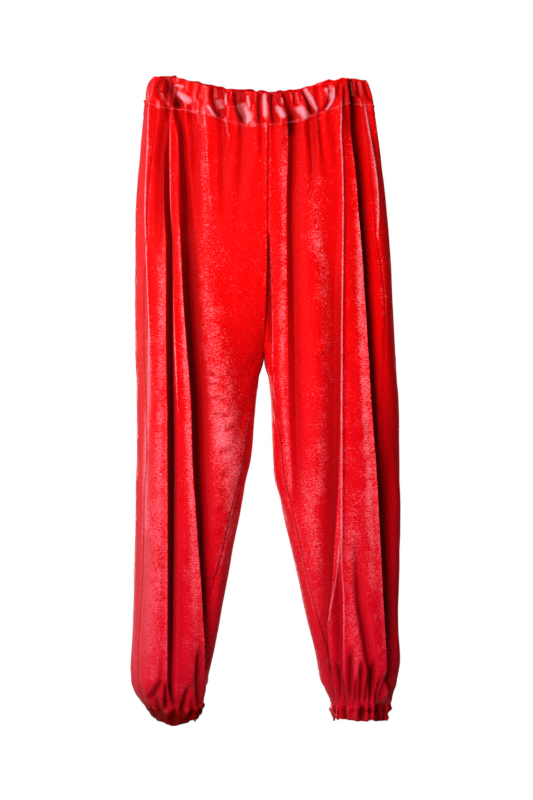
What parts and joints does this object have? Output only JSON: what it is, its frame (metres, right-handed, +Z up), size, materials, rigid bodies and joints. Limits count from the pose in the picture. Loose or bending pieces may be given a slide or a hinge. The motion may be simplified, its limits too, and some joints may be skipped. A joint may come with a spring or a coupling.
{
  "type": "velvet lounge trousers",
  "caption": "Loose pull-on velvet trousers with a gathered elastic waistband and balloon legs drawn in by elastic at the ankles, hanging filled out with no wearer.",
  "frame": {"origin": "middle of the waist opening, level with the band's top edge at the front", "axes": "+Z up out of the waist, the wearer's front faces -Y, the wearer's left is on +X"},
  "size_m": [0.4305, 0.1574, 1.039],
  "materials": {
    "velvet": "short-pile stretch velvet with a fine cross rib and a pink sheen",
    "velvet_casing": "the same velvet folded over elastic and gathered"
  },
  "bodies": {
    "root": {"waistband": "velvet_casing", "front_right_upper": "velvet", "front_right_lower": "velvet", "back_right_upper": "velvet", "back_right_lower": "velvet", "cuff_right": "velvet_casing", "front_left_upper": "velvet", "front_left_lower": "velvet", "back_left_upper": "velvet", "back_left_lower": "velvet", "cuff_left": "velvet_casing"}
  },
  "joints": []
}
